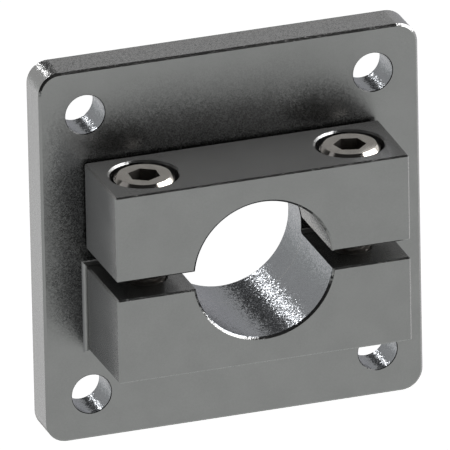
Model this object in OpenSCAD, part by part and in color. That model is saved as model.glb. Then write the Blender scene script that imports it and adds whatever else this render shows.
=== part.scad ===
// Flanged shaft support: a square mounting flange with the lower half of a split clamp cast
// onto it, a loose clamp cap, and the two socket head screws that draw the cap down.
// Millimetres. The shaft runs along Y on X = Z = 0. The mounting face is the plane Y = 0 and
// the clamp stands forward of it, towards -Y. The cap is on top, towards +Z.

/* [Flange] */
// Width and height of the square flange
flange_w = 83; // [80:0.5:110]
// Thickness of the flange
flange_t = 8.5; // [6:0.5:14]
// Radius of the flange's corners
corner_r = 4.6; // [2:0.1:7]
// Chamfer around the front of the flange
flange_chamfer = 0.5; // [0.2:0.1:1.2]
// Chamfer around the mounting face, its bore and its bolt holes
rear_chamfer = 0.3; // [0.1:0.1:0.6]
// Distance between the bolt holes, both ways
bolt_pitch = 63; // [60:0.5:66]
// Diameter of the bolt holes
bolt_hole_d = 8.6; // [5:0.1:10]
// Chamfer at the front of each bolt hole
bolt_hole_chamfer = 0.15; // [0.1:0.05:0.5]

/* [Shaft bore] */
// Diameter of the bore, open before the screws draw it down onto a 30 mm shaft
bore_d = 30.2; // [20:0.1:32]
// Chamfer at the front mouth of the bore
bore_chamfer = 0.5; // [0.2:0.1:1]

/* [Clamp] */
// Width of the clamp across its front face
clamp_w = 64.2; // [62:0.2:72]
// Height of the clamp over both halves, at its front face
clamp_h = 41.8; // [40:0.2:48]
// How far the clamp stands out from the flange
clamp_depth = 20.8; // [19:0.2:30]
// Draft angle of the cast outer faces, widest at the flange
draft = 0.5; // [0.1:0.1:1.5]
// Chamfer along the edges of both clamp halves
clamp_chamfer = 0.35; // [0.2:0.05:0.8]
// Gap between the cap and the lower half
split_gap = 3.9; // [2:0.1:6]
// How far the middle of that gap lies below the shaft's axis
split_drop = 0.15; // [0:0.05:0.5]
// Clear space between the cap and the flange
cap_clearance = 0.9; // [0.4:0.1:2]
// Fillet where the lower half grows out of the flange
foot_r = 1.05; // [0.5:0.05:1.5]

/* [Clamp screws] */
// Distance between the two screws
screw_pitch = 45; // [44.6:0.1:46]
// Distance of the screws behind the clamp's front face
screw_set_back = 10; // [9:0.1:11]
// Outer diameter of the screw thread
thread_d = 8; // [6:0.5:8]
// Length of the screws under the head
screw_length = 25; // [20:1:28]
// Diameter of the screw head
head_d = 12.8; // [10:0.1:13]
// Height of the screw head
head_h = 8; // [6:0.5:9]
// Rounding of the head's upper rim
head_rim_r = 0.8; // [0.3:0.1:1]
// Width across the flats of the hexagon socket
socket_af = 6; // [4:0.5:6.5]
// Depth of the hexagon socket
socket_depth = 4.2; // [3:0.1:4.5]
// Angle at which a corner of the left screw's socket has stopped
left_socket_turn = 27; // [-30:1:30]
// Angle at which a corner of the right screw's socket has stopped
right_socket_turn = -16; // [-30:1:30]
// Diameter of the counterbore around each head
counterbore_d = 14.5; // [13.6:0.1:15]
// Chamfer at the mouth of each counterbore
counterbore_chamfer = 0.35; // [0.1:0.05:0.5]
// How far each head lies below the cap's top
head_recess = 0.05; // [0:0.05:1]
// Room between a screw's shank and its hole in the cap, on the radius
shank_clearance = 0.5; // [0.2:0.1:1]
// Play between the screw thread and the tapped hole, on the radius
thread_play = 0.03; // [0.01:0.01:0.05]

/* [Hidden] */
$fn = 96;

// Overlap that joins two solids, or carries a cut clear of a face
over = 1;
// The clamp's front face and the cap's back face, as distances in front of the mounting face
front = flange_t + clamp_depth;
cap_back = flange_t + cap_clearance;
// The two faces of the split, as heights above the shaft's axis
cap_split_z = split_gap / 2 - split_drop;
body_split_z = -split_gap / 2 - split_drop;
// Where the screws stand, the cap's top there, and the seat under each head
screw_x = screw_pitch / 2;
screw_y = screw_set_back - front;
cap_top_z = clamp_h / 2 + screw_set_back * tan(draft);
seat_z = cap_top_z - head_recess - head_h;
// How far the thread of the tapped hole runs past the screw's tip, and the drilling past that
tap_run_on = 2;
drill_run_on = 1.5;
tap_end_z = seat_z - screw_length - tap_run_on;
drill_end_z = tap_end_z - drill_run_on;
// The tapping drill, and the countersink at the mouth of the tapped hole
drill_d = 0.85 * thread_d;
tap_mouth = 0.5;
// The drawn-out point of a 118 degree drill, as a share of its diameter
drill_point = 0.3;
// The lower half's outline where it meets the flange
foot_half_w = clamp_w / 2 + clamp_depth * tan(draft);
foot_low_z = -clamp_h / 2 - clamp_depth * tan(draft);

SIDES = [-1, 1];

// Half the clamp's width at a distance in front of the mounting face
function half_w(y) = clamp_w / 2 + (front - y) * tan(draft);
// Half the clamp's height at that distance
function half_h(y) = clamp_h / 2 + (front - y) * tan(draft);

// Sweeps an outline drawn in (Y, Z) along X
module along_x(length) {
    rotate([90, 0, 90])
        linear_extrude(height = length, center = true)
            children();
}

// Turns a shape that stands on Z so that it points forward, towards -Y
module forward() {
    rotate([90, 0, 0])
        children();
}

// Section of the flange's rim: x is the distance from the middle, y the distance forward
module rim_section(half) {
    polygon([
        [0, 0],
        [half - rear_chamfer, 0],
        [half, rear_chamfer],
        [half, flange_t - flange_chamfer],
        [half - flange_chamfer, flange_t],
        [0, flange_t]
    ]);
}

// One strip of the flange that reaches both of its opposite edges
module flange_strip(length) {
    rotate([90, 0, 0])
        rotate([90, 0, 90])
            linear_extrude(height = length, center = true)
                for (side = [0, 1])
                    mirror([side, 0])
                        rim_section(flange_w / 2);
}

// Square plate with true round corners and chamfered rims
module flange_plate() {
    straight = flange_w - 2 * corner_r;
    flange_strip(straight);
    rotate([0, 90, 0])
        flange_strip(straight);
    for (x = SIDES, z = SIDES)
        translate([x * straight / 2, 0, z * straight / 2])
            forward()
                rotate_extrude()
                    rim_section(corner_r);
}

// Square bar laid on an edge, so that cutting it away leaves a chamfer
module edge_bar(length) {
    side = clamp_chamfer * sqrt(2);
    rotate([0, 0, 45])
        cube([side, side, length], center = true);
}

// Bars for the edges that run from side to side and up and down on one upright face
module face_bars(y, half_width, split_z, outer_z) {
    for (x = SIDES)
        translate([x * half_width, -y, 0])
            edge_bar(2 * clamp_h);
    for (z = [split_z, outer_z])
        translate([0, -y, z])
            rotate([0, 90, 0])
                edge_bar(2 * clamp_w);
}

// Bars for the edges that run from front to back, leaning with the draft
module depth_bars(split_z, outer) {
    for (x = SIDES) {
        translate([x * clamp_w / 2, -front, outer * clamp_h / 2])
            rotate([outer * draft, 0, -x * draft])
                forward()
                    edge_bar(3 * clamp_depth);
        translate([x * clamp_w / 2, -front, split_z])
            rotate([0, 0, -x * draft])
                forward()
                    edge_bar(3 * clamp_depth);
    }
}

// Plain block for one half of the clamp, from its split face out to its drafted outer face.
// outer is 1 for the half on top and -1 for the half below.
module drafted_block(back, split_z, outer) {
    intersection() {
        linear_extrude(height = 2 * clamp_h, center = true)
            polygon([
                [-half_w(front), -front],
                [half_w(front), -front],
                [half_w(back), -back],
                [-half_w(back), -back]
            ]);
        along_x(2 * clamp_w)
            polygon([
                [-front, split_z],
                [-front, outer * half_h(front)],
                [-back, outer * half_h(back)],
                [-back, split_z]
            ]);
    }
}

// The same half with chamfers around its front face and along its four deep edges
module clamp_half(back, split_z, outer) {
    difference() {
        difference() {
            drafted_block(back, split_z, outer);
            face_bars(front, half_w(front), split_z, outer * half_h(front));
        }
        depth_bars(split_z, outer);
    }
}

// Fillet all round the foot of the lower half: a low step with its sides hollowed out.
// The hollows dip a little below the faces that they blend into, so they cross them cleanly.
module foot_fillet() {
    dip = 0.02;
    reach = foot_r - dip;
    top_z = body_split_z + reach;
    low_z = foot_low_z - reach;
    side_x = foot_half_w + reach;
    difference() {
        translate([-side_x, -flange_t - reach, low_z])
            cube([2 * side_x, reach + over, top_z - low_z]);
        for (z = [top_z, low_z])
            translate([0, -flange_t - reach, z])
                rotate([0, 90, 0])
                    cylinder(h = 3 * side_x, r = foot_r, center = true);
        for (x = SIDES)
            translate([x * side_x, -flange_t - reach, 0])
                cylinder(h = 3 * clamp_h, r = foot_r, center = true);
    }
}

// Shaft bore from the front mouth to the mounting face, with both mouths chamfered
module shaft_bore() {
    r = bore_d / 2;
    translate([0, over, 0])
        forward()
            cylinder(h = front + 2 * over, r = r);
    translate([0, over, 0])
        forward()
            cylinder(h = over + rear_chamfer, r1 = r + rear_chamfer + over, r2 = r);
    translate([0, bore_chamfer - front, 0])
        forward()
            cylinder(h = bore_chamfer + over, r1 = r, r2 = r + bore_chamfer + over);
}

// The four bolt holes of the flange, chamfered at both ends
module bolt_holes() {
    r = bolt_hole_d / 2;
    for (x = SIDES, z = SIDES)
        translate([x * bolt_pitch / 2, 0, z * bolt_pitch / 2]) {
            translate([0, over, 0])
                forward()
                    cylinder(h = flange_t + 2 * over, r = r);
            translate([0, over, 0])
                forward()
                    cylinder(h = over + rear_chamfer, r1 = r + rear_chamfer + over, r2 = r);
            translate([0, bolt_hole_chamfer - flange_t, 0])
                forward()
                    cylinder(h = bolt_hole_chamfer + over, r1 = r, r2 = r + bolt_hole_chamfer + over);
        }
}

// Puts a copy at each screw, with its own origin on the seat under the head
module at_screws() {
    for (x = SIDES)
        translate([x * screw_x, screw_y, seat_z])
            children();
}

// Blind tapped hole in the lower half, ending in a drill point
module tapped_hole() {
    depth = seat_z - tap_end_z;
    translate([0, 0, -depth])
        cylinder(h = depth, d = thread_d);
    translate([0, 0, drill_end_z - seat_z])
        cylinder(h = tap_end_z - drill_end_z + over, d = drill_d);
    translate([0, 0, drill_end_z - seat_z - drill_point * drill_d])
        cylinder(h = drill_point * drill_d, d1 = 0, d2 = drill_d);
    translate([0, 0, body_split_z - seat_z - tap_mouth])
        cylinder(h = tap_mouth, d1 = thread_d, d2 = thread_d + 2 * tap_mouth);
}

// Counterbore for the head, and the clearance hole below it
module screw_hole() {
    rim_z = head_h + head_recess;
    cylinder(h = rim_z + over, d = counterbore_d);
    translate([0, 0, rim_z - counterbore_chamfer])
        cylinder(
            h = counterbore_chamfer + over,
            d1 = counterbore_d,
            d2 = counterbore_d + 2 * (counterbore_chamfer + over)
        );
    translate([0, 0, -seat_z])
        cylinder(h = seat_z + over, d = thread_d + 2 * shank_clearance);
}

// Head of a socket screw standing on its seat, with a rounded upper rim
module screw_head() {
    r = head_d / 2;
    foot_break = 0.3;
    rotate_extrude() {
        translate([0, foot_break])
            square([r, head_h - head_rim_r - foot_break]);
        square([r - head_rim_r, head_h]);
        translate([r - head_rim_r, head_h - head_rim_r])
            circle(head_rim_r);
        polygon([[0, 0], [r - foot_break, 0], [r, foot_break], [0, foot_break]]);
    }
}

// Hexagon socket that ends in a drill point
module hex_socket() {
    translate([0, 0, head_h - socket_depth])
        cylinder(h = socket_depth + over, d = socket_af / cos(30), $fn = 6);
    translate([0, 0, head_h - socket_depth - drill_point * socket_af])
        cylinder(h = drill_point * socket_af, d1 = 0, d2 = socket_af);
}

// One socket head screw with a chamfered tip
module socket_screw(socket_turn) {
    r = thread_d / 2 - thread_play;
    tip = 0.9;
    difference() {
        union() {
            screw_head();
            translate([0, 0, tip - screw_length])
                cylinder(h = screw_length - tip + over, r = r);
            translate([0, 0, -screw_length])
                cylinder(h = tip, r1 = r - tip, r2 = r);
        }
        rotate([0, 0, socket_turn])
            hex_socket();
    }
}

// Flange and lower clamp half, cast as one piece
module flange_body() {
    color([0.62, 0.63, 0.62])
        difference() {
            union() {
                flange_plate();
                clamp_half(flange_t - over, body_split_z, -1);
                foot_fillet();
            }
            shaft_bore();
            bolt_holes();
            at_screws()
                tapped_hole();
        }
}

// Upper clamp half, clear of the flange behind it
module clamp_cap() {
    color([0.66, 0.67, 0.66])
        difference() {
            difference() {
                clamp_half(cap_back, cap_split_z, 1);
                face_bars(cap_back, half_w(cap_back), cap_split_z, half_h(cap_back));
            }
            shaft_bore();
            at_screws()
                screw_hole();
        }
}

// The pair of screws that draw the cap down
module clamp_screws() {
    color([0.5, 0.48, 0.46]) {
        translate([-screw_x, screw_y, seat_z])
            socket_screw(left_socket_turn);
        translate([screw_x, screw_y, seat_z])
            socket_screw(right_socket_turn);
    }
}

flange_body();
clamp_cap();
clamp_screws();
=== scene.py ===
"""Looks of a flange-mounted shaft support: satin castings, knurled socket screws, a pale studio."""

import logging
import math
from collections.abc import Callable, Sequence
from dataclasses import dataclass, field
from enum import Enum

import bpy
from mathutils import Matrix, Vector


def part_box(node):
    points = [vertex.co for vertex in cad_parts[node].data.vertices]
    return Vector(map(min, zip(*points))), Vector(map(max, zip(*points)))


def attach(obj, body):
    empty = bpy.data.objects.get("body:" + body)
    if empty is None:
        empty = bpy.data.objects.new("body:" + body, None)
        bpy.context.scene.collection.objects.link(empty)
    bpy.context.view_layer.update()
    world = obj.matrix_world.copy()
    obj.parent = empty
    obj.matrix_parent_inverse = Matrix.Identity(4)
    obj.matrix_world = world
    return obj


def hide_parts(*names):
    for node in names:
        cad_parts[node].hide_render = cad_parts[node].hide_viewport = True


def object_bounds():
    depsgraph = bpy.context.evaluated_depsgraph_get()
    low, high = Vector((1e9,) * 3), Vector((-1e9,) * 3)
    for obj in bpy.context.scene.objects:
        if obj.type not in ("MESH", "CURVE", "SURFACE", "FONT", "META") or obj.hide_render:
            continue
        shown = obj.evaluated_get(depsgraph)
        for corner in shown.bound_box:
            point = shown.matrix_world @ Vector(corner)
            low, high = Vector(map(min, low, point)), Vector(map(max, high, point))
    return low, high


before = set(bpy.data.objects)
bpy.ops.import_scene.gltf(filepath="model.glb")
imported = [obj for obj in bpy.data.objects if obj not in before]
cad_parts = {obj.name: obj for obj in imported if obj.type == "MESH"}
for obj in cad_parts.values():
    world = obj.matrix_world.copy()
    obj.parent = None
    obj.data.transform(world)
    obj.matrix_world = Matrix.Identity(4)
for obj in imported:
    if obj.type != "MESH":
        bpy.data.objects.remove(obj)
CAD_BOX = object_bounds()

LOG = logging.getLogger("shaft_support")
MM = 0.001

Colour = tuple[float, float, float]
Point = tuple[float, float, float]
Socket = bpy.types.NodeSocket
Feed = Socket | float | Sequence[float]

WHITE: Colour = (1.0, 1.0, 1.0)
# The range that most of a noise's values fill
NOISE_SPAN = (0.3, 0.7)


class Side(Enum):
    """Which of the two clamp screws, as the sign of its X."""

    LEFT = -1
    RIGHT = 1


class Slot(Enum):
    """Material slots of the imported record."""

    BODY = "cast_body"
    CAP = "cap"
    SCREWS = "screw_steel"


class Graph:
    """Adds nodes to a shader tree and links them as they are made."""

    def __init__(self, owner: bpy.types.Material | bpy.types.World) -> None:
        """Starts an empty tree on a material or on the world.

        Args:
            owner: The material or world whose tree is built.
        """
        owner.use_nodes = True
        self.tree = owner.node_tree
        self.tree.nodes.clear()

    def node(
        self, kind: str, feeds: dict[str | int, Feed] | None = None, **settings: object
    ) -> bpy.types.Node:
        """Adds one node.

        Args:
            kind: Blender's name of the node type.
            feeds: What goes into each input: a link from a socket, or a constant.
            **settings: Properties of the node, such as its operation.

        Returns:
            The new node.
        """
        made = self.tree.nodes.new(kind)
        for name, value in settings.items():
            setattr(made, name, value)
        for name, value in (feeds or {}).items():
            if isinstance(value, bpy.types.NodeSocket):
                self.tree.links.new(value, made.inputs[name])
            else:
                made.inputs[name].default_value = value
        return made

    def math(self, operation: str, *values: Feed) -> Socket:
        """Works out one number from others.

        Args:
            operation: Blender's name of the operation.
            *values: One to three sockets or numbers.

        Returns:
            The socket that holds the result.
        """
        return self.node("ShaderNodeMath", dict(enumerate(values)), operation=operation).outputs[0]

    def vector(self, operation: str, *values: Feed) -> Socket:
        """Works out one vector from others.

        Args:
            operation: Blender's name of the operation.
            *values: One or two sockets or vectors.

        Returns:
            The socket that holds the result.
        """
        return self.node("ShaderNodeVectorMath", dict(enumerate(values)), operation=operation).outputs[0]

    def scaled(self, vector: Feed, times: Feed) -> Socket:
        """Multiplies a vector by one number."""
        feeds = {0: vector, "Scale": times}
        return self.node("ShaderNodeVectorMath", feeds, operation="SCALE").outputs[0]

    def split(self, vector: Socket) -> bpy.types.NodeOutputs:
        """Takes a vector apart into its X, Y and Z."""
        return self.node("ShaderNodeSeparateXYZ", {0: vector}).outputs

    def place(self) -> Socket:
        """Reads where on the object the surface is, in metres."""
        return self.node("ShaderNodeNewGeometry").outputs["Position"]

    def normal(self) -> Socket:
        """Reads which way the surface faces."""
        return self.node("ShaderNodeNewGeometry").outputs["Normal"]

    def seen_directly(self) -> Socket:
        """Reads a mask that is 1 where the camera looks straight at it and 0 in mirrored views."""
        return self.node("ShaderNodeLightPath").outputs["Is Camera Ray"]

    def map(self, value: Socket, low: Feed, high: Feed, to_low: Feed, to_high: Feed) -> Socket:
        """Carries a value from one range into another with soft ends.

        Args:
            value: The socket to read.
            low: Where the input range starts.
            high: Where the input range ends.
            to_low: The result at the start.
            to_high: The result at the end.

        Returns:
            The socket that holds the result.
        """
        feeds = {0: value, 1: low, 2: high, 3: to_low, 4: to_high}
        return self.node("ShaderNodeMapRange", feeds, interpolation_type="SMOOTHSTEP").outputs[0]

    def noise(self, place: Socket, size_mm: float, detail: float = 2.0) -> Socket:
        """Adds a noise whose features have a real size.

        Args:
            place: Where on the object, in metres.
            size_mm: Size of one feature.
            detail: How many finer layers it has.

        Returns:
            The noise value, about 0.5 on average.
        """
        feeds = {"Vector": place, "Scale": 1 / (size_mm * MM), "Detail": detail}
        return self.node("ShaderNodeTexNoise", feeds).outputs[0]

    def mix(self, share: Feed, first: Feed, second: Feed) -> Socket:
        """Blends two colours.

        Args:
            share: How much of the second colour shows.
            first: Colour at 0.
            second: Colour at 1.

        Returns:
            The blended colour.
        """
        made = self.node("ShaderNodeMix", data_type="RGBA")
        for index, value in ((0, share), (6, first), (7, second)):
            if isinstance(value, bpy.types.NodeSocket):
                self.tree.links.new(value, made.inputs[index])
            else:
                made.inputs[index].default_value = value
        return made.outputs[2]

    def bump(self, height: Socket, height_mm: float) -> Socket:
        """Raises the surface by a pattern.

        Args:
            height: The pattern, from 0 to 1.
            height_mm: How far the surface stands out at 1.

        Returns:
            The changed normal.
        """
        feeds = {"Height": height, "Strength": 1.0, "Distance": height_mm * MM}
        return self.node("ShaderNodeBump", feeds).outputs[0]

    def clouded(self, cloud: Socket, colour: Colour, depth: float) -> Socket:
        """Varies the brightness of a colour softly.

        Args:
            cloud: The noise value that it follows.
            colour: The colour on average.
            depth: The largest change, as a share of the brightness.

        Returns:
            The varied colour.
        """
        share = self.map(cloud, *NOISE_SPAN, 0.0, 1.0)
        return self.mix(share, opaque(colour, 1 - depth), opaque(colour, 1 + depth))

    def principled(self, feeds: dict[str | int, Feed]) -> None:
        """Ends a material's tree with its one shader.

        Args:
            feeds: What goes into each input of the shader.
        """
        surface = self.node("ShaderNodeBsdfPrincipled", feeds).outputs[0]
        self.node("ShaderNodeOutputMaterial", {"Surface": surface})


def opaque(colour: Colour, times: float = 1.0) -> tuple[float, float, float, float]:
    """Scales a colour and gives it full opacity."""
    return (colour[0] * times, colour[1] * times, colour[2] * times, 1.0)


@dataclass(frozen=True)
class WitnessLine:
    """Hairline left in the lower bore where its machining meets the flange's."""

    from_back_mm: float = 9.5
    width_mm: float = 0.16
    brighten: float = 0.95

    def mask(self, graph: Graph, place: Socket, in_bore: Socket) -> Socket:
        """Marks the line.

        Args:
            graph: The material's tree.
            place: Where on the object, in metres.
            in_bore: A mask that is 1 on the bore's wall.

        Returns:
            A mask that is 1 on the line and 0 elsewhere.
        """
        past = graph.math("SUBTRACT", graph.split(place)["Y"], -self.from_back_mm * MM)
        off = graph.math("ABSOLUTE", past)
        near = graph.map(off, self.width_mm * MM / 4, self.width_mm * MM, 1.0, 0.0)
        return graph.math("MULTIPLY", near, in_bore)


@dataclass(frozen=True)
class SatinCasting:
    """Fine grained satin aluminium: soft clouds, crystals that catch the light, painted shade in its nooks.

    Values in mm are real sizes, and the others are shares or Blender's own units. The painted shade
    values set how dark the metal is painted beside a wall, and the gap values ease that inside the split.
    """

    name: str
    colour: Colour = (0.50, 0.50, 0.497)
    metallic: float = 0.7
    roughness: float = 0.25
    bored_roughness: float = 0.15
    roughness_swing: float = 0.02
    swing_span: tuple[float, float] = (0.25, 0.75)
    cloud_mm: float = 7.0
    cloud_depth: float = 0.03
    grain_mm: float = 0.23
    grain_tilt: float = 0.08
    bored_tilt: float = 0.20
    mean_crystal: Point = (0.5, 0.5, 0.5)
    grain_tone: float = 0.015
    # Painted shade: the values from here down to gap_drop_mm set how dark the base colour is painted beside
    # walls, and ease it in the split
    painted_shade_grain: float = 0.65
    painted_shade_depth: float = 1.3
    painted_shade_side: float = 0.8
    painted_shade_reach_mm: float = 30.0
    painted_shade_lean: Point = (0.95, 0.0, -1.15)
    front_facing: float = 0.93
    side_facing: tuple[float, float] = (0.02, 0.1)
    shut: float = 0.15
    open_front: float = 0.68
    darkest: float = 0.12
    gap_relief: float = 0.45
    gap_mm: float = 3.9
    gap_drop_mm: float = 0.15
    flange_t_mm: float = 8.5
    flange_half_mm: float = 41.5
    corner_mm: float = 4.6
    slack_mm: float = 0.1
    chamfer_facing: float = 0.7
    chamfer_spread: float = 0.15
    bore_r_mm: float = 15.1
    # Painted shade on the bore and bolt-hole walls, slightly tinted
    bore_shade_tone: Colour = (0.77, 0.80, 0.85)
    bolt_r_mm: float = 4.3
    bolt_half_pitch_mm: float = 31.5
    # Painted shade on the bolt holes' chamfered mouths, which keeps a highlight off them
    mouth_mm: float = 0.6
    mouth_shade_tone: float = 0.12
    witness: WitnessLine | None = None

    def facets(self, graph: Graph, crystal: Socket, cut: Socket) -> Socket:
        """Tilts each tiny crystal of the surface its own way, so that it sparkles in narrow lights.

        Args:
            graph: The material's tree.
            crystal: A random colour for each crystal.
            cut: A mask that is 1 on bored walls and broken edges, where the crystals tilt more.

        Returns:
            The tilted normal.
        """
        centred = graph.vector("SUBTRACT", crystal, self.mean_crystal)
        tilt = graph.scaled(centred, graph.map(cut, 0.0, 1.0, self.grain_tilt, self.bored_tilt))
        return graph.vector("NORMALIZE", graph.vector("ADD", graph.normal(), tilt))

    def in_gap(self, graph: Graph, place: Socket) -> Socket:
        """Marks the split between the two halves of the clamp.

        Args:
            graph: The material's tree.
            place: Where on the object, in metres.

        Returns:
            A mask that is 1 in the split and 0 elsewhere.
        """
        split = graph.split(place)
        off = graph.math("ABSOLUTE", graph.math("ADD", split["Z"], self.gap_drop_mm * MM))
        level = graph.math("LESS_THAN", off, (self.gap_mm + self.slack_mm) / 2 * MM)
        ahead = graph.math("LESS_THAN", split["Y"], -(self.flange_t_mm + self.slack_mm) * MM)
        return graph.math("MULTIPLY", level, ahead)

    def painted_nook_shade(self, graph: Graph, place: Socket, bored: Socket) -> Socket:
        """Paints shade into the metal's colour where a wall stands close to it, below and to the right
        above all.

        Args:
            graph: The material's tree.
            place: Where on the object, in metres.
            bored: A mask that is 1 on bored walls, which stay as they are.

        Returns:
            A painted shade factor that is 1 on open faces. Mirrored views of the metal leave it out.
        """
        normal = graph.normal()
        along = graph.split(normal)["Y"]
        front = graph.map(along, -1.0, -self.front_facing, 1.0, 0.0)
        side = graph.map(graph.math("ABSOLUTE", along), *self.side_facing, self.painted_shade_side, 0.0)
        leant = graph.vector("ADD", normal, graph.scaled(self.painted_shade_lean, front))
        feeds = {"Distance": self.painted_shade_reach_mm * MM, "Normal": graph.vector("NORMALIZE", leant)}
        # Painted shade: occlusion around a normal leant towards the clamp stands in for the clamp's dark
        # image mirrored in the flange
        openness = graph.node("ShaderNodeAmbientOcclusion", feeds).outputs["AO"]
        fully_open = graph.map(front, 0.0, 1.0, 1.0, self.open_front)
        shade = graph.map(openness, self.shut, fully_open, self.darkest, 1.0)
        relief = graph.math("MULTIPLY", self.in_gap(graph, place), self.gap_relief)
        outside = graph.math("SUBTRACT", 1.0, graph.math("MAXIMUM", relief, bored))
        share = graph.math("MULTIPLY", graph.seen_directly(), outside)
        depth = graph.math("MULTIPLY", share, graph.math("ADD", front, side))
        return graph.math("MULTIPLY_ADD", graph.math("SUBTRACT", shade, 1.0), depth, 1.0)

    def slanted(self, graph: Graph) -> Socket:
        """Marks the chamfers, with a mask that is 1 on them."""
        along = graph.math("ABSOLUTE", graph.split(graph.normal())["Y"])
        return graph.math("COMPARE", along, self.chamfer_facing, self.chamfer_spread)

    def edges(self, graph: Graph, place: Socket, slanted: Socket) -> Socket:
        """Marks the chamfers that break the fronts' edges, and the flange's rounded corners.

        Args:
            graph: The material's tree.
            place: Where on the object, in metres.
            slanted: A mask that is 1 on chamfers.

        Returns:
            A mask that is 1 on them and 0 elsewhere.
        """
        split = graph.split(place)
        inner = graph.math("MINIMUM", *(graph.math("ABSOLUTE", split[axis]) for axis in "XZ"))
        corner = graph.math("GREATER_THAN", inner, (self.flange_half_mm - self.corner_mm) * MM)
        return graph.math("MAXIMUM", slanted, corner)

    def in_hole(self, graph: Graph, place: Socket, radius_mm: float, off_centre_mm: float) -> Socket:
        """Marks the wall of a round hole, bored by machining, and of its mirror twins.

        Args:
            graph: The material's tree.
            place: Where on the object, in metres.
            radius_mm: Radius of the hole.
            off_centre_mm: How far its axis stands from the shaft's, sideways and upwards.

        Returns:
            A mask that is 1 on the wall and 0 elsewhere.
        """
        split = graph.split(place)
        squares = []
        for across in (split["X"], split["Z"]):
            off = graph.math("SUBTRACT", graph.math("ABSOLUTE", across), off_centre_mm * MM)
            squares.append(graph.math("MULTIPLY", off, off))
        from_axis = graph.math("SQRT", graph.math("ADD", *squares))
        return graph.math("LESS_THAN", from_axis, (radius_mm + self.slack_mm) * MM)

    def mottle(self, graph: Graph, grain: Socket, painted_nook_shade: Socket) -> Socket:
        """Gives each crystal its own brightness, and lays on the painted nook shade, which each crystal
        takes a little more or less strongly.

        Args:
            graph: The material's tree.
            grain: A random number for each crystal, from 0 to 1.
            painted_nook_shade: The nooks' factor.

        Returns:
            The factor for the tone.
        """
        speck = graph.map(grain, 0.0, 1.0, 1 - self.grain_tone, 1 + self.grain_tone)
        swing = self.painted_shade_grain / 2
        low, high = self.painted_shade_depth * (1 - swing), self.painted_shade_depth * (1 + swing)
        sharpened = graph.map(grain, 0.0, 1.0, low, high)
        return graph.math("MULTIPLY", speck, graph.math("POWER", painted_nook_shade, sharpened))

    def material(self) -> bpy.types.Material:
        """Builds the finish.

        Returns:
            The material.
        """
        made = bpy.data.materials.new(self.name)
        graph = Graph(made)
        place = graph.place()
        in_bore = self.in_hole(graph, place, self.bore_r_mm, 0.0)
        in_bolt_hole = self.in_hole(graph, place, self.bolt_r_mm, self.bolt_half_pitch_mm)
        bored = graph.math("MAXIMUM", in_bore, in_bolt_hole)
        cloud = graph.noise(place, self.cloud_mm, detail=3.0)
        crystals = {"Vector": place, "Scale": 1 / (self.grain_mm * MM)}
        crystal = graph.node("ShaderNodeTexVoronoi", crystals).outputs["Color"]
        tone = graph.clouded(cloud, self.colour, self.cloud_depth)
        # Painted shade beside walls, speckled crystal by crystal, times the grain's own tone
        shade = self.mottle(graph, graph.split(crystal)["X"], self.painted_nook_shade(graph, place, bored))
        # Painted shade: the bore and bolt-hole walls are darkened and slightly tinted
        bore_shade = graph.mix(bored, opaque(WHITE), opaque(self.bore_shade_tone))
        tone = graph.vector("MULTIPLY", graph.vector("MULTIPLY", tone, shade), bore_shade)
        slanted = self.slanted(graph)
        # Painted shade: the chamfered mouths of the bolt holes are darkened, which keeps a highlight off
        # them
        mouth = self.in_hole(graph, place, self.bolt_r_mm + self.mouth_mm, self.bolt_half_pitch_mm)
        tone = graph.mix(graph.math("MULTIPLY", mouth, slanted), tone, opaque(self.colour, self.mouth_shade_tone))
        if self.witness:
            lighter = opaque(self.colour, self.witness.brighten)
            tone = graph.mix(self.witness.mask(graph, place, in_bore), tone, lighter)
        swing = graph.map(cloud, *self.swing_span, -self.roughness_swing, self.roughness_swing)
        cut = graph.math("MAXIMUM", bored, self.edges(graph, place, slanted))
        sheen = graph.math("ADD", graph.map(cut, 0.0, 1.0, self.roughness, self.bored_roughness), swing)
        feeds = {
            "Base Color": tone,
            "Metallic": self.metallic,
            "Roughness": sheen,
            "Normal": self.facets(graph, crystal, cut),
        }
        graph.principled(feeds)
        return made


@dataclass(frozen=True)
class ScrewSteel:
    """Warm grey steel with a faint turned grain around the screw's axis, with painted shade that darkens it
    where it is seen mirrored.
    """

    name: str
    centre: Point
    colour: Colour = (0.95, 0.90, 0.84)
    metallic: float = 1.0
    roughness: float = 0.12
    ring_roughness: tuple[float, float] = (-0.03, 0.04)
    mirrored_shade: float = 0.18
    ring_mm: float = 0.12
    ring_height_mm: float = 0.004
    cloud_mm: float = 3.0
    cloud_depth: float = 0.07

    def material(self) -> bpy.types.Material:
        """Builds the finish.

        Returns:
            The material.
        """
        made = bpy.data.materials.new(self.name)
        graph = Graph(made)
        place = graph.place()
        split = graph.split(graph.vector("SUBTRACT", place, self.centre))
        squares = (graph.math("POWER", split[axis], 2.0) for axis in "XY")
        radius = graph.math("SQRT", graph.math("ADD", *squares))
        turned = graph.node("ShaderNodeCombineXYZ", {"X": radius, "Z": split["Z"]}).outputs[0]
        rings = graph.noise(turned, self.ring_mm, detail=1.0)
        cloud = graph.noise(place, self.cloud_mm, detail=3.0)
        tone = graph.clouded(cloud, self.colour, self.cloud_depth)
        # Painted shade: mirrored views of the screw get a dark tone
        tone = graph.mix(graph.seen_directly(), opaque(self.colour, self.mirrored_shade), tone)
        smooth, rough = (self.roughness + change for change in self.ring_roughness)
        feeds = {
            "Base Color": tone,
            "Metallic": self.metallic,
            "Roughness": graph.map(rings, *NOISE_SPAN, smooth, rough),
            "Normal": graph.bump(rings, self.ring_height_mm),
        }
        graph.principled(feeds)
        return made


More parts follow.
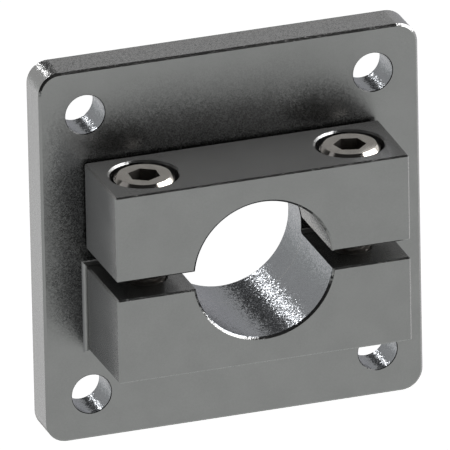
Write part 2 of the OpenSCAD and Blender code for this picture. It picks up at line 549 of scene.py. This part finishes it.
@dataclass(frozen=True)
class SocketShade:
    """Painted shade: dark steel for the pressed hexagon socket and the thread, which lie in shade."""

    name: str
    colour: Colour = (0.13, 0.12, 0.11)
    darker: float = 0.6
    lighter: float = 1.5
    metallic: float = 0.8
    roughness: float = 0.5
    roughness_swing: float = 0.08
    mottle_mm: float = 0.5
    pit_mm: float = 0.01

    def material(self) -> bpy.types.Material:
        """Builds the finish.

        Returns:
            The material.
        """
        made = bpy.data.materials.new(self.name)
        graph = Graph(made)
        mottle = graph.noise(graph.place(), self.mottle_mm)
        tone = graph.mix(mottle, opaque(self.colour, self.darker), opaque(self.colour, self.lighter))
        smooth, rough = self.roughness - self.roughness_swing, self.roughness + self.roughness_swing
        feeds = {
            "Base Color": tone,
            "Metallic": self.metallic,
            "Roughness": graph.map(mottle, *NOISE_SPAN, smooth, rough),
            "Normal": graph.bump(mottle, self.pit_mm),
        }
        graph.principled(feeds)
        return made


@dataclass
class Castings:
    """The two castings, which keep their own solids and get a finish."""

    body_node: str = "flange_body"
    cap_node: str = "clamp_cap"
    body_finish: SatinCasting = field(
        default_factory=lambda: SatinCasting("satin_body", witness=WitnessLine())
    )
    # The cap's bores get a darker, warmer painted shade
    cap_finish: SatinCasting = field(
        default_factory=lambda: SatinCasting("satin_cap", bore_shade_tone=(0.62, 0.61, 0.58))
    )

    def dress(self) -> list[bpy.types.Object]:
        """Puts each finish on its casting.

        Returns:
            The two castings.
        """
        castings = (
            (self.body_node, self.body_finish, Slot.BODY),
            (self.cap_node, self.cap_finish, Slot.CAP),
        )
        dressed = []
        for node, finish, slot in castings:
            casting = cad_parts[node]
            casting.data.materials.clear()
            casting.data.materials.append(finish.material())
            dressed.append(casting)
        return dressed


Ring = list[Point]


@dataclass
class SocketScrew:
    """Socket head cap screw with a knurled head, a hexagon socket and a real thread.

    Lengths are in millimetres. It is one closed skin over rings of points, which run from the
    socket's drill point up, over the head and down the thread to the tip.
    """

    side: Side
    socket_turn_deg: float
    node: str = "clamp_screws"
    head_h: float = 8.0
    rim: float = 0.8
    socket_af: float = 6.0
    socket_depth: float = 4.2
    drill_point: float = 0.3
    point_share: float = 0.05
    knurls: int = 60
    knurl_depth: float = 0.16
    knurl_run_in: float = 0.2
    rim_band: float = 0.1
    foot_band: float = 0.9
    foot_break: float = 0.3
    fillet: float = 0.3
    fillet_middle: float = 0.08
    shank_r: float = 3.97
    thread_pitch: float = 1.25
    thread_depth: float = 0.74
    thread_start: float = 0.6
    flank_steepness: float = 2.3
    crest_flat: float = 0.35
    steps_per_turn: int = 8
    tip: float = 0.9
    sharp_deg: float = 28.0

    def __post_init__(self) -> None:
        """Reads where the screw stands from the frame, in millimetres."""
        low, high = (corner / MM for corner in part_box(self.node))
        self.head_r = (high.y - low.y) / 2
        self.axis_x = self.side.value * (high.x - self.head_r)
        self.axis_y = (low.y + high.y) / 2
        self.top_z = high.z
        self.seat_z = high.z - self.head_h
        self.tip_z = low.z
        self.socket_floor_z = self.top_z - self.socket_depth
        self.around = 2 * self.knurls

    def ring(self, radius: Callable[[int], float], z: float) -> Ring:
        """Makes one closed ring of points around the screw's axis.

        Args:
            radius: The radius at each step around, in millimetres.
            z: Height of the ring, in millimetres.

        Returns:
            The ring's points, in metres.
        """
        points = []
        for step in range(self.around):
            angle = math.radians(self.socket_turn_deg) + math.tau * step / self.around
            x = self.axis_x + radius(step) * math.cos(angle)
            y = self.axis_y + radius(step) * math.sin(angle)
            points.append((x * MM, y * MM, z * MM))
        return points

    def circle(self, radius: float, z: float) -> Ring:
        """Makes a plain round ring."""
        return self.ring(lambda step: radius, z)

    def hexagon_r(self, step: int) -> float:
        """Distance from the axis to the socket's flats at a step around, with a corner at step 0."""
        sixth = self.around // 6
        angle = math.tau * (step % sixth) / self.around - math.pi / 6
        return self.socket_af / 2 / math.cos(angle)

    def socket_rings(self) -> list[Ring]:
        """Makes the socket from its drill point up to its sharp mouth.

        Returns:
            The rings, from the bottom up.
        """
        flat_r = self.socket_af / 2
        point_depth = (1 - self.point_share) * self.drill_point * self.socket_af
        return [
            self.circle(flat_r * self.point_share, self.socket_floor_z - point_depth),
            self.circle(flat_r, self.socket_floor_z),
            self.ring(self.hexagon_r, self.socket_floor_z),
            self.ring(self.hexagon_r, self.top_z),
        ]

    def knurl_r(self, step: int) -> float:
        """Distance from the axis to the knurl, which dips at every other step around."""
        return self.head_r - self.knurl_depth * (step % 2)

    def head_rings(self) -> list[Ring]:
        """Makes the head from its top face over the chamfered rim and down the knurled side.

        Returns:
            The rings, from the top face to the seat.
        """
        high_z = self.top_z - self.rim - self.rim_band
        low_z = self.seat_z + self.foot_band
        return [
            self.circle(self.head_r - self.rim, self.top_z),
            self.circle(self.head_r, self.top_z - self.rim),
            self.circle(self.head_r, high_z),
            self.ring(self.knurl_r, high_z - self.knurl_run_in),
            self.ring(self.knurl_r, low_z + self.knurl_run_in),
            self.circle(self.head_r, low_z),
            self.circle(self.head_r, self.seat_z + self.foot_break),
            self.circle(self.head_r - self.foot_break, self.seat_z),
        ]

    def thread_r(self, step: int, z: float) -> float:
        """Radius of the thread at a step around and a height.

        Args:
            step: Step around the axis.
            z: Height in millimetres.

        Returns:
            The radius in millimetres.
        """
        phase = (z / self.thread_pitch - step / self.around) % 1.0
        flank = min(max(self.flank_steepness * abs(2 * phase - 1) - self.crest_flat, 0.0), 1.0)
        run_out = min(max((self.seat_z - self.thread_start - z) / self.thread_pitch, 0.0), 1.0)
        threaded = self.shank_r - self.thread_depth * flank * run_out
        return min(threaded, self.shank_r - self.tip + (z - self.tip_z))

    def shank_rings(self) -> list[Ring]:
        """Makes the thread from the fillet under the head down to the chamfered tip.

        Returns:
            The rings, from the top down.
        """
        rings = [
            self.circle(self.shank_r + self.fillet, self.seat_z),
            self.circle(self.shank_r + self.fillet_middle, self.seat_z - self.fillet_middle),
            self.circle(self.shank_r, self.seat_z - self.fillet),
        ]
        step_z = self.thread_pitch / self.steps_per_turn
        z = self.seat_z - self.thread_start
        while z > self.tip_z + step_z / 2:
            rings.append(self.ring(lambda step, at=z: self.thread_r(step, at), z))
            z -= step_z
        rings.append(self.ring(lambda step: self.thread_r(step, self.tip_z), self.tip_z))
        return rings

    def skin(self, rings: list[Ring]) -> tuple[Ring, list[tuple[int, ...]]]:
        """Joins each ring to the next by quads, and closes both ends around a point.

        Args:
            rings: The rings in order, from the socket's drill point to the tip.

        Returns:
            The points in metres, and the faces as numbers of points.
        """
        points = [point for ring in rings for point in ring]
        count = self.around
        faces: list[tuple[int, ...]] = []
        for level in range(len(rings) - 1):
            low, high = level * count, (level + 1) * count
            for step in range(count):
                following = (step + 1) % count
                faces.append((low + step, low + following, high + following, high + step))
        point_z = self.socket_floor_z - self.drill_point * self.socket_af
        for level, z in ((0, point_z), (len(rings) - 1, self.tip_z)):
            points.append((self.axis_x * MM, self.axis_y * MM, z * MM))
            for step in range(count):
                pair = (level * count + step, level * count + (step + 1) % count)
                faces.append((*(pair[::-1] if level == 0 else pair), len(points) - 1))
        return points, faces

    def build(self, steel: ScrewSteel, shade: SocketShade) -> bpy.types.Object:
        """Makes one closed mesh of the rings, dresses it and seats it in the frame.

        Args:
            steel: Finish of the head.
            shade: Painted shade, the finish of the socket and the thread.

        Returns:
            The screw.
        """
        inside = self.socket_rings()
        head = self.head_rings()
        points, faces = self.skin(inside + head + self.shank_rings())
        mesh = bpy.data.meshes.new(f"clamp_screw_{self.side.name.lower()}")
        mesh.from_pydata(points, [], faces)
        mesh.materials.append(steel.material())
        mesh.materials.append(shade.material())
        # The head's faces take the steel, and the socket's and thread's faces the painted shade
        bright = range((len(inside) - 1) * self.around, (len(inside) + len(head)) * self.around)
        for number, face in enumerate(mesh.polygons):
            face.use_smooth = True
            face.material_index = int(number not in bright)
        mesh.set_sharp_from_angle(angle=math.radians(self.sharp_deg))
        screw = bpy.data.objects.new(mesh.name, mesh)
        bpy.context.scene.collection.objects.link(screw)
        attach(screw, "root")
        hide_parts(self.node)
        return screw


@dataclass
class ClampScrews:
    """The pair of screws that draw the cap down."""

    left_turn_deg: float = 27.0
    right_turn_deg: float = -16.0

    def build(self) -> list[bpy.types.Object]:
        """Builds both screws with their finishes.

        Returns:
            The two screws.
        """
        made = []
        for side, turn in ((Side.LEFT, self.left_turn_deg), (Side.RIGHT, self.right_turn_deg)):
            screw = SocketScrew(side, turn)
            centre = (screw.axis_x * MM, screw.axis_y * MM, 0.0)
            steel = ScrewSteel(f"screw_steel_{side.name.lower()}", centre)
            shade = SocketShade(f"socket_shade_{side.name.lower()}")
            made.append(screw.build(steel, shade))
        return made


@dataclass(frozen=True)
class Glow:
    """One soft patch of light or dark in the studio's surroundings."""

    toward: Point
    reach_deg: float
    soft_deg: float
    colour: Colour

    def mask(self, graph: Graph, direction: Socket) -> Socket:
        """Marks the patch.

        Args:
            graph: The world's tree.
            direction: The direction looked at.

        Returns:
            A mask that is 1 in the patch and fades to 0 around it.
        """
        aim = Vector(self.toward).normalized()
        feeds = {0: direction, 1: aim}
        nearness = graph.node("ShaderNodeVectorMath", feeds, operation="DOT_PRODUCT").outputs["Value"]
        outer = math.cos(math.radians(self.reach_deg + self.soft_deg))
        return graph.map(nearness, outer, math.cos(math.radians(self.reach_deg)), 0.0, 1.0)


@dataclass
class Surroundings:
    """What the metal mirrors: a grey room, darker overhead, with soft patches of dark and light.

    Each blend runs over a range of heights, from -1 straight down to 1 straight up.
    """

    low: Colour = (0.575, 0.59, 0.58)
    level: Colour = (0.58, 0.58, 0.575)
    overhead: Colour = (0.22, 0.22, 0.225)
    level_blend: tuple[float, float] = (-0.2, 0.2)
    overhead_blend: tuple[float, float] = (0.42, 0.6)
    shown: Colour = WHITE
    glows: tuple[Glow, ...] = (
        Glow((-0.12, -0.33, 0.93), 40.0, 7.0, (0.012, 0.012, 0.012)),
        Glow((-0.83, -0.42, 0.36), 25.0, 8.0, (0.012, 0.012, 0.012)),
        Glow((0.105, 0.87, 0.47), 8.0, 4.0, (0.06, 0.06, 0.06)),
        Glow((0.42, 0.87, -0.05), 12.0, 12.0, (0.46, 0.46, 0.48)),
        Glow((0.08, 0.86, -0.50), 8.0, 12.0, (0.34, 0.33, 0.32)),
        Glow((-0.35, -0.84, -0.41), 9.0, 16.0, (0.38, 0.39, 0.40)),
        Glow((-0.289, 0.873, -0.393), 8.0, 14.0, (0.86, 0.86, 0.86)),
        Glow((0.873, 0.289, -0.393), 14.0, 26.0, (0.82, 0.82, 0.82)),
        Glow((-0.18, 0.873, 0.45), 2.0, 3.5, (9.0, 9.0, 9.0)),
        Glow((0.82, -0.10, 0.56), 22.0, 6.0, (4.5, 4.5, 4.5)),
    )

    def build(self) -> None:
        """Builds the world: the room for the metal's reflections, plain white behind the scene."""
        world = bpy.data.worlds.new("studio_room")
        bpy.context.scene.world = world
        graph = Graph(world)
        direction = graph.node("ShaderNodeTexCoord").outputs["Generated"]
        height = graph.split(direction)["Z"]
        risen = graph.map(height, *self.level_blend, 0.0, 1.0)
        room = graph.mix(risen, opaque(self.low), opaque(self.level))
        room = graph.mix(graph.map(height, *self.overhead_blend, 0.0, 1.0), room, opaque(self.overhead))
        for glow in self.glows:
            room = graph.mix(glow.mask(graph, direction), room, opaque(glow.colour))
        lit = graph.node("ShaderNodeBackground", {"Color": room}).outputs[0]
        plain = graph.node("ShaderNodeBackground", {"Color": opaque(self.shown)}).outputs[0]
        surface = graph.node("ShaderNodeMixShader", {0: graph.seen_directly(), 1: lit, 2: plain}).outputs[0]
        graph.node("ShaderNodeOutputWorld", {"Surface": surface})
        world.cycles_visibility.diffuse = False


@dataclass
class Studio:
    """Plain pale floor, soft overhead light and the camera, which stands far off with a long lens."""

    floor_half_m: float = 3.0
    floor_colour: Colour = (0.9, 0.9, 0.9)
    floor_roughness: float = 0.9
    floor_glow: float = 1.05
    floor_cloud_mm: float = 400.0
    floor_cloud_depth: float = 0.01
    light_strength: float = 0.35
    light_spread_deg: float = 70.0
    light_tilt_deg: tuple[float, float] = (-3.0, -3.0)
    azimuth_deg: float = -18.261
    elevation_deg: float = 22.955
    roll_deg: float = 1.179
    aim_mm: Point = (-1.184, -7.392, 1.608)
    distance_mm: float = 4159.6
    lens_mm: float = 1600.0
    clip_m: tuple[float, float] = (0.1, 20.0)

    def floor_finish(self) -> bpy.types.Material:
        """Builds the floor's finish, which glows enough to show as plain white.

        Returns:
            The material.
        """
        made = bpy.data.materials.new("pale_floor")
        graph = Graph(made)
        cloud = graph.noise(graph.place(), self.floor_cloud_mm)
        pale = opaque(self.floor_colour, 1 + self.floor_cloud_depth)
        tone = graph.mix(cloud, opaque(self.floor_colour, 1 - self.floor_cloud_depth), pale)
        feeds = {
            "Base Color": tone,
            "Roughness": self.floor_roughness,
            "Specular IOR Level": 0.0,
            "Emission Color": tone,
            "Emission Strength": self.floor_glow,
        }
        graph.principled(feeds)
        return made

    def floor(self) -> bpy.types.Object:
        """Lays the floor under the flange's lower edge.

        Returns:
            The floor.
        """
        level = CAD_BOX[0].z
        half = self.floor_half_m
        corners = [(-half, -half, level), (half, -half, level), (half, half, level), (-half, half, level)]
        mesh = bpy.data.meshes.new("studio_floor")
        mesh.from_pydata(corners, [], [(0, 1, 2, 3)])
        mesh.materials.append(self.floor_finish())
        floor = bpy.data.objects.new("studio_floor", mesh)
        bpy.context.scene.collection.objects.link(floor)
        floor.visible_glossy = False
        floor.visible_diffuse = False
        floor.visible_shadow = False
        return floor

    def light(self) -> bpy.types.Object:
        """Hangs the broad soft light that lights the floor.

        Returns:
            The light.
        """
        lamp = bpy.data.lights.new("overhead_light", "SUN")
        lamp.energy = self.light_strength
        lamp.angle = math.radians(self.light_spread_deg)
        made = bpy.data.objects.new("overhead_light", lamp)
        tilt_x, tilt_y = (math.radians(angle) for angle in self.light_tilt_deg)
        made.rotation_euler = (tilt_x, tilt_y, 0.0)
        made.visible_glossy = False
        bpy.context.scene.collection.objects.link(made)
        return made

    def camera(self) -> bpy.types.Object:
        """Sets the camera at the photograph's viewing angle.

        Returns:
            The camera.
        """
        turn, rise = math.radians(self.azimuth_deg), math.radians(self.elevation_deg)
        roll = math.radians(self.roll_deg)
        back = Vector((math.sin(turn) * math.cos(rise), -math.cos(turn) * math.cos(rise), math.sin(rise)))
        level_right = Vector((math.cos(turn), math.sin(turn), 0.0))
        level_up = back.cross(level_right)
        up = level_up * math.cos(roll) + level_right * math.sin(roll)
        right = up.cross(back)
        data = bpy.data.cameras.new("camera")
        data.lens = self.lens_mm
        data.clip_start, data.clip_end = self.clip_m
        made = bpy.data.objects.new("camera", data)
        bpy.context.scene.collection.objects.link(made)
        place = (Vector(self.aim_mm) + back * self.distance_mm) * MM
        made.matrix_world = Matrix.Translation(place) @ Matrix((right, up, back)).transposed().to_4x4()
        bpy.context.scene.camera = made
        return made

    def colours(self) -> None:
        """Shows colours as they are, with no film curve."""
        bpy.context.scene.view_settings.view_transform = "Standard"
        bpy.context.scene.view_settings.look = "None"


def main() -> None:
    """Builds the looks piece by piece, then the studio."""
    logging.basicConfig(level=logging.INFO, format="%(name)s: %(message)s")
    for piece in Castings().dress() + ClampScrews().build():
        mesh = piece.data
        LOG.info("%s: %d faces, finish %s", piece.name, len(mesh.polygons), mesh.materials[0].name)
    studio = Studio()
    studio.colours()
    for item in (studio.floor(), studio.light(), studio.camera()):
        LOG.info("studio has %s", item.name)
    Surroundings().build()


if __name__ == "__main__":
    main()
